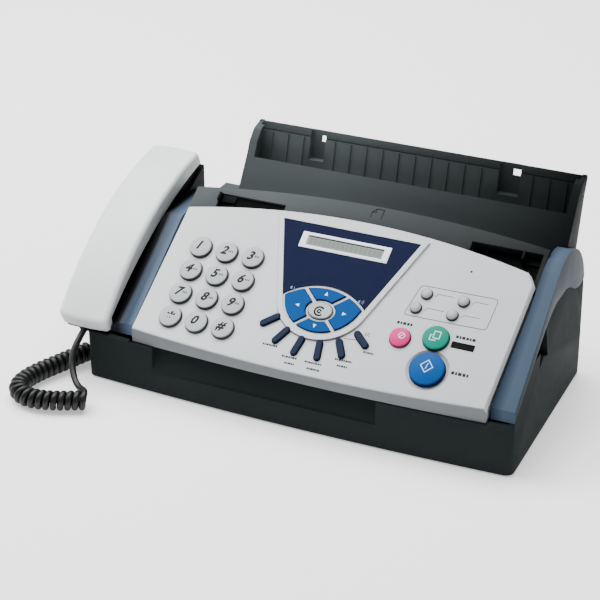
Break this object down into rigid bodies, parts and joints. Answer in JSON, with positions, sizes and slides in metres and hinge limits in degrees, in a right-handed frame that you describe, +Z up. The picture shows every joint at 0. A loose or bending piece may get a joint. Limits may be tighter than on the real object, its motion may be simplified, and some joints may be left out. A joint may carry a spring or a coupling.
{
  "type": "fax machine",
  "caption": "Desktop telephone fax machine: sloping key panel with a display, a side handset on a coiled cord, a paper exit at the front and an upright paper support behind.",
  "frame": {"origin": "on the desk, under the middle of the machine's box without its handset cord", "axes": "+Z up, +X the user's right, control panel facing -Y"},
  "size_m": [0.3858, 0.243, 0.1627],
  "materials": {
    "charcoal_plastic": "fine satin texture",
    "black_plastic": "satin",
    "handset_white": "smooth semi-gloss",
    "panel_grey": "fine satin",
    "arm_blue_grey": "glossy lacquer",
    "navy_fascia": "glossy",
    "display_bezel": "glossy",
    "key_grey": "satin",
    "nav_blue": "semi-gloss",
    "function_blue": "semi-gloss",
    "stop_pink": "semi-gloss",
    "copy_green": "semi-gloss",
    "start_blue": "semi-gloss",
    "cord_plastic": "satin",
    "foot_rubber": "matte",
    "roller_rubber": "matte",
    "ribbon_film": "glossy film",
    "steel_sheet": "zinc plated",
    "motor_metal": "plain",
    "head_aluminium": "plain",
    "circuit_board": "lacquered"
  },
  "bodies": {
    "base": {"base_housing": "charcoal_plastic", "bottom_cover": "charcoal_plastic", "rubber_feet": "foot_rubber", "handset_cradle": "black_plastic", "chassis_frame": "steel_sheet", "circuit_boards": "circuit_board", "drive_motor": "motor_metal", "print_head": "head_aluminium", "modular_jacks": "black_plastic", "power_inlet": "black_plastic", "cord_coil": "cord_plastic", "cord_lead": "cord_plastic", "cord_tail": "cord_plastic"},
    "top_cover": {"right_arm": "arm_blue_grey", "left_arm": "arm_blue_grey", "document_cover": "charcoal_plastic", "control_panel": "panel_grey", "display_fascia": "navy_fascia", "lcd_display": "display_bezel", "paper_support": "charcoal_plastic", "image_sensor": "black_plastic"},
    "key_1_body": {"key_1": "key_grey"},
    "key_2_body": {"key_2": "key_grey"},
    "key_3_body": {"key_3": "key_grey"},
    "key_4_body": {"key_4": "key_grey"},
    "key_5_body": {"key_5": "key_grey"},
    "key_6_body": {"key_6": "key_grey"},
    "key_7_body": {"key_7": "key_grey"},
    "key_8_body": {"key_8": "key_grey"},
    "key_9_body": {"key_9": "key_grey"},
    "key_star_body": {"key_star": "key_grey"},
    "key_0_body": {"key_0": "key_grey"},
    "key_hash_body": {"key_hash": "key_grey"},
    "nav_up_body": {"nav_up": "nav_blue"},
    "nav_down_body": {"nav_down": "nav_blue"},
    "nav_left_body": {"nav_left": "nav_blue"},
    "nav_right_body": {"nav_right": "nav_blue"},
    "nav_center_body": {"nav_center": "key_grey"},
    "function_1_body": {"function_1": "function_blue"},
    "function_2_body": {"function_2": "function_blue"},
    "function_3_body": {"function_3": "function_blue"},
    "function_4_body": {"function_4": "function_blue"},
    "function_5_body": {"function_5": "function_blue"},
    "function_6_body": {"function_6": "function_blue"},
    "onetouch_1_body": {"onetouch_1": "key_grey"},
    "onetouch_2_body": {"onetouch_2": "key_grey"},
    "onetouch_3_body": {"onetouch_3": "key_grey"},
    "onetouch_4_body": {"onetouch_4": "key_grey"},
    "stop_button_body": {"stop_button": "stop_pink"},
    "copy_button_body": {"copy_button": "copy_green"},
    "start_button_body": {"start_button": "start_blue"},
    "document_guide_left_body": {"document_guide_left": "black_plastic"},
    "document_guide_right_body": {"document_guide_right": "black_plastic"},
    "platen": {"platen_roller": "roller_rubber"},
    "ribbon_supply": {"ribbon_supply_spool": "ribbon_film"},
    "ribbon_takeup": {"ribbon_takeup_spool": "ribbon_film"},
    "feed": {"feed_roller": "roller_rubber"},
    "handset": {"handset_shell": "handset_white", "handset_inner": "black_plastic"},
    "hook": {"hook_switch": "black_plastic"}
  },
  "joints": [
    {"name": "cover_hinge", "type": "hinge", "parent": "base", "child": "top_cover", "pos_m": [0, 0.078, 0.084], "axis": [-1, 0, 0], "range_deg": [0, 55]},
    {"name": "key_1_press", "type": "slide", "parent": "top_cover", "child": "key_1_body", "axis": [0, 0.5548, -0.832], "range_m": [0, 0.0016], "stiffness_N_per_m": 200, "springref_m": -0.001},
    {"name": "key_2_press", "type": "slide", "parent": "top_cover", "child": "key_2_body", "axis": [0, 0.5548, -0.832], "range_m": [0, 0.0016], "stiffness_N_per_m": 200, "springref_m": -0.001},
    {"name": "key_3_press", "type": "slide", "parent": "top_cover", "child": "key_3_body", "axis": [0, 0.5548, -0.832], "range_m": [0, 0.0016], "stiffness_N_per_m": 200, "springref_m": -0.001},
    {"name": "key_4_press", "type": "slide", "parent": "top_cover", "child": "key_4_body", "axis": [0, 0.5548, -0.832], "range_m": [0, 0.0016], "stiffness_N_per_m": 200, "springref_m": -0.001},
    {"name": "key_5_press", "type": "slide", "parent": "top_cover", "child": "key_5_body", "axis": [0, 0.5548, -0.832], "range_m": [0, 0.0016], "stiffness_N_per_m": 200, "springref_m": -0.001},
    {"name": "key_6_press", "type": "slide", "parent": "top_cover", "child": "key_6_body", "axis": [0, 0.5548, -0.832], "range_m": [0, 0.0016], "stiffness_N_per_m": 200, "springref_m": -0.001},
    {"name": "key_7_press", "type": "slide", "parent": "top_cover", "child": "key_7_body", "axis": [0, 0.5548, -0.832], "range_m": [0, 0.0016], "stiffness_N_per_m": 200, "springref_m": -0.001},
    {"name": "key_8_press", "type": "slide", "parent": "top_cover", "child": "key_8_body", "axis": [0, 0.5548, -0.832], "range_m": [0, 0.0016], "stiffness_N_per_m": 200, "springref_m": -0.001},
    {"name": "key_9_press", "type": "slide", "parent": "top_cover", "child": "key_9_body", "axis": [0, 0.5548, -0.832], "range_m": [0, 0.0016], "stiffness_N_per_m": 200, "springref_m": -0.001},
    {"name": "key_star_press", "type": "slide", "parent": "top_cover", "child": "key_star_body", "axis": [0, 0.5548, -0.832], "range_m": [0, 0.0016], "stiffness_N_per_m": 200, "springref_m": -0.001},
    {"name": "key_0_press", "type": "slide", "parent": "top_cover", "child": "key_0_body", "axis": [0, 0.5548, -0.832], "range_m": [0, 0.0016], "stiffness_N_per_m": 200, "springref_m": -0.001},
    {"name": "key_hash_press", "type": "slide", "parent": "top_cover", "child": "key_hash_body", "axis": [0, 0.5548, -0.832], "range_m": [0, 0.0016], "stiffness_N_per_m": 200, "springref_m": -0.001},
    {"name": "nav_up_press", "type": "slide", "parent": "top_cover", "child": "nav_up_body", "axis": [0, 0.5548, -0.832], "range_m": [0, 0.0016], "stiffness_N_per_m": 200, "springref_m": -0.001},
    {"name": "nav_down_press", "type": "slide", "parent": "top_cover", "child": "nav_down_body", "axis": [0, 0.5548, -0.832], "range_m": [0, 0.0016], "stiffness_N_per_m": 200, "springref_m": -0.001},
    {"name": "nav_left_press", "type": "slide", "parent": "top_cover", "child": "nav_left_body", "axis": [0, 0.5548, -0.832], "range_m": [0, 0.0016], "stiffness_N_per_m": 200, "springref_m": -0.001},
    {"name": "nav_right_press", "type": "slide", "parent": "top_cover", "child": "nav_right_body", "axis": [0, 0.5548, -0.832], "range_m": [0, 0.0016], "stiffness_N_per_m": 200, "springref_m": -0.001},
    {"name": "nav_center_press", "type": "slide", "parent": "top_cover", "child": "nav_center_body", "axis": [0, 0.5548, -0.832], "range_m": [0, 0.0016], "stiffness_N_per_m": 200, "springref_m": -0.001},
    {"name": "function_1_press", "type": "slide", "parent": "top_cover", "child": "function_1_body", "axis": [0, 0.5548, -0.832], "range_m": [0, 0.0016], "stiffness_N_per_m": 200, "springref_m": -0.001},
    {"name": "function_2_press", "type": "slide", "parent": "top_cover", "child": "function_2_body", "axis": [0, 0.5548, -0.832], "range_m": [0, 0.0016], "stiffness_N_per_m": 200, "springref_m": -0.001},
    {"name": "function_3_press", "type": "slide", "parent": "top_cover", "child": "function_3_body", "axis": [0, 0.5548, -0.832], "range_m": [0, 0.0016], "stiffness_N_per_m": 200, "springref_m": -0.001},
    {"name": "function_4_press", "type": "slide", "parent": "top_cover", "child": "function_4_body", "axis": [0, 0.5548, -0.832], "range_m": [0, 0.0016], "stiffness_N_per_m": 200, "springref_m": -0.001},
    {"name": "function_5_press", "type": "slide", "parent": "top_cover", "child": "function_5_body", "axis": [0, 0.5548, -0.832], "range_m": [0, 0.0016], "stiffness_N_per_m": 200, "springref_m": -0.001},
    {"name": "function_6_press", "type": "slide", "parent": "top_cover", "child": "function_6_body", "axis": [0, 0.5548, -0.832], "range_m": [0, 0.0016], "stiffness_N_per_m": 200, "springref_m": -0.001},
    {"name": "onetouch_1_press", "type": "slide", "parent": "top_cover", "child": "onetouch_1_body", "axis": [0, 0.5548, -0.832], "range_m": [0, 0.0016], "stiffness_N_per_m": 200, "springref_m": -0.001},
    {"name": "onetouch_2_press", "type": "slide", "parent": "top_cover", "child": "onetouch_2_body", "axis": [0, 0.5548, -0.832], "range_m": [0, 0.0016], "stiffness_N_per_m": 200, "springref_m": -0.001},
    {"name": "onetouch_3_press", "type": "slide", "parent": "top_cover", "child": "onetouch_3_body", "axis": [0, 0.5548, -0.832], "range_m": [0, 0.0016], "stiffness_N_per_m": 200, "springref_m": -0.001},
    {"name": "onetouch_4_press", "type": "slide", "parent": "top_cover", "child": "onetouch_4_body", "axis": [0, 0.5548, -0.832], "range_m": [0, 0.0016], "stiffness_N_per_m": 200, "springref_m": -0.001},
    {"name": "stop_button_press", "type": "slide", "parent": "top_cover", "child": "stop_button_body", "axis": [0, 0.5548, -0.832], "range_m": [0, 0.0016], "stiffness_N_per_m": 200, "springref_m": -0.001},
    {"name": "copy_button_press", "type": "slide", "parent": "top_cover", "child": "copy_button_body", "axis": [0, 0.5548, -0.832], "range_m": [0, 0.0016], "stiffness_N_per_m": 200, "springref_m": -0.001},
    {"name": "start_button_press", "type": "slide", "parent": "top_cover", "child": "start_button_body", "axis": [0, 0.5548, -0.832], "range_m": [0, 0.0016], "stiffness_N_per_m": 200, "springref_m": -0.001},
    {"name": "guide_left_slide", "type": "slide", "parent": "top_cover", "child": "document_guide_left_body", "axis": [1, 0, 0], "range_m": [0, 0.034]},
    {"name": "guide_right_slide", "type": "slide", "parent": "top_cover", "child": "document_guide_right_body", "axis": [-1, 0, 0], "range_m": [0, 0.034]},
    {"name": "platen_spin", "type": "hinge", "parent": "base", "child": "platen", "pos_m": [0.03, -0.016, 0.048], "axis": [1, 0, 0], "continuous": true},
    {"name": "ribbon_supply_spin", "type": "hinge", "parent": "base", "child": "ribbon_supply", "pos_m": [0.03, 0.022, 0.044], "axis": [1, 0, 0], "continuous": true},
    {"name": "ribbon_takeup_spin", "type": "hinge", "parent": "base", "child": "ribbon_takeup", "pos_m": [0.03, -0.046, 0.042], "axis": [1, 0, 0], "continuous": true},
    {"name": "feed_spin", "type": "hinge", "parent": "top_cover", "child": "feed", "pos_m": [0.03, 0.002, 0.088], "axis": [1, 0, 0], "continuous": true},
    {"name": "handset_lift", "type": "slide", "parent": "base", "child": "handset", "axis": [0, -0.4399, 0.898], "range_m": [0, 0.12]},
    {"name": "hook_release", "type": "slide", "parent": "base", "child": "hook", "axis": [0, -0.4399, 0.898], "range_m": [0, 0.004]}
  ],
  "couplings": [
    {"joint": "guide_right_slide", "follows": "guide_left_slide", "ratio": 1},
    {"joint": "ribbon_supply_spin", "follows": "platen_spin", "ratio": 0.52941},
    {"joint": "ribbon_takeup_spin", "follows": "platen_spin", "ratio": 0.81818},
    {"joint": "hook_release", "follows": "handset_lift", "ratio": 0.033333}
  ]
}
